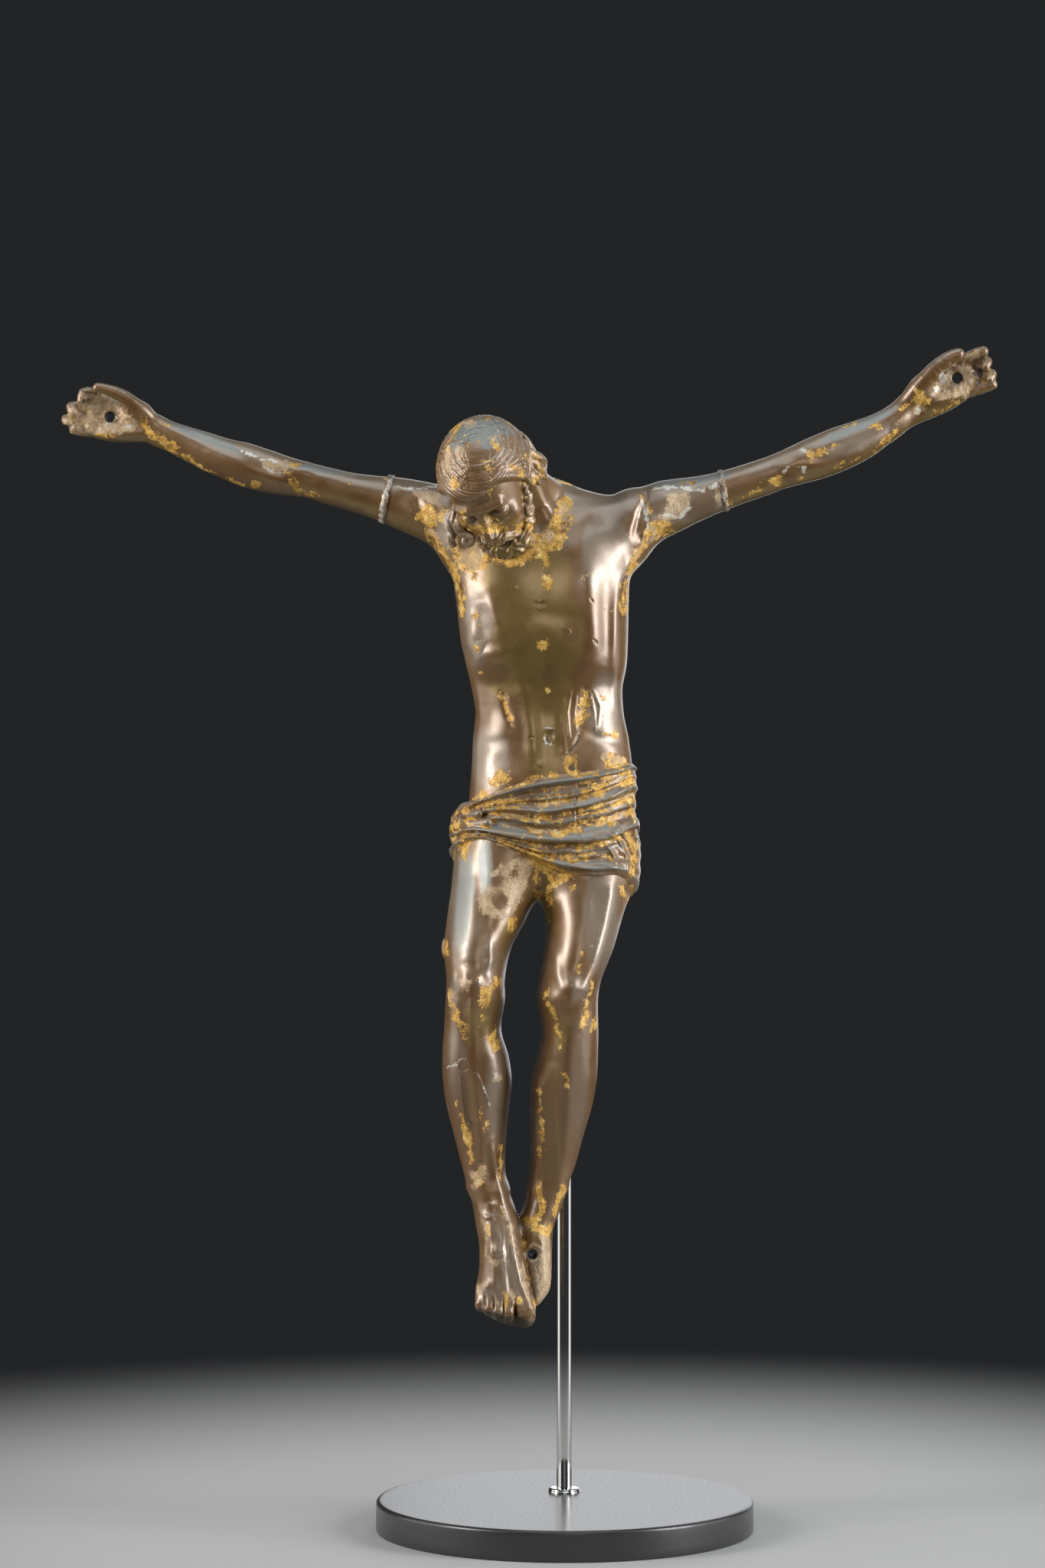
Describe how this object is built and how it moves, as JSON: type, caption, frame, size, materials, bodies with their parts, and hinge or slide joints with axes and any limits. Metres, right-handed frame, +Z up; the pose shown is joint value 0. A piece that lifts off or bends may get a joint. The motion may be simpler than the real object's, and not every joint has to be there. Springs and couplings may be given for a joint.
{
  "type": "crucifix corpus figure on a display stand",
  "caption": "Cast bronze male figure with outstretched arms, bowed head and wrapped loincloth, carried by a bent steel rod on a round foot.",
  "frame": {"origin": "centre of the stand foot's underside, on the surface that it stands on", "axes": "+Z up along the rod; -Y out of the figure's chest, towards the viewer; +X to the figure's left, the viewer's right"},
  "size_m": [0.3075, 0.124, 0.388],
  "materials": {
    "bronze_body": "polished brown bronze with worn gilding, dust and corrosion",
    "bronze_right_arm": "polished brown bronze with worn gilding, dust and corrosion",
    "bronze_left_arm": "polished brown bronze with worn gilding, dust and corrosion",
    "polished_steel": "polished",
    "black_lacquer": "satin black lacquer"
  },
  "bodies": {
    "root": {"figure_body": "bronze_body", "right_arm": "bronze_right_arm", "left_arm": "bronze_left_arm", "stand_rod": "polished_steel", "stand_foot": "black_lacquer"}
  },
  "joints": []
}
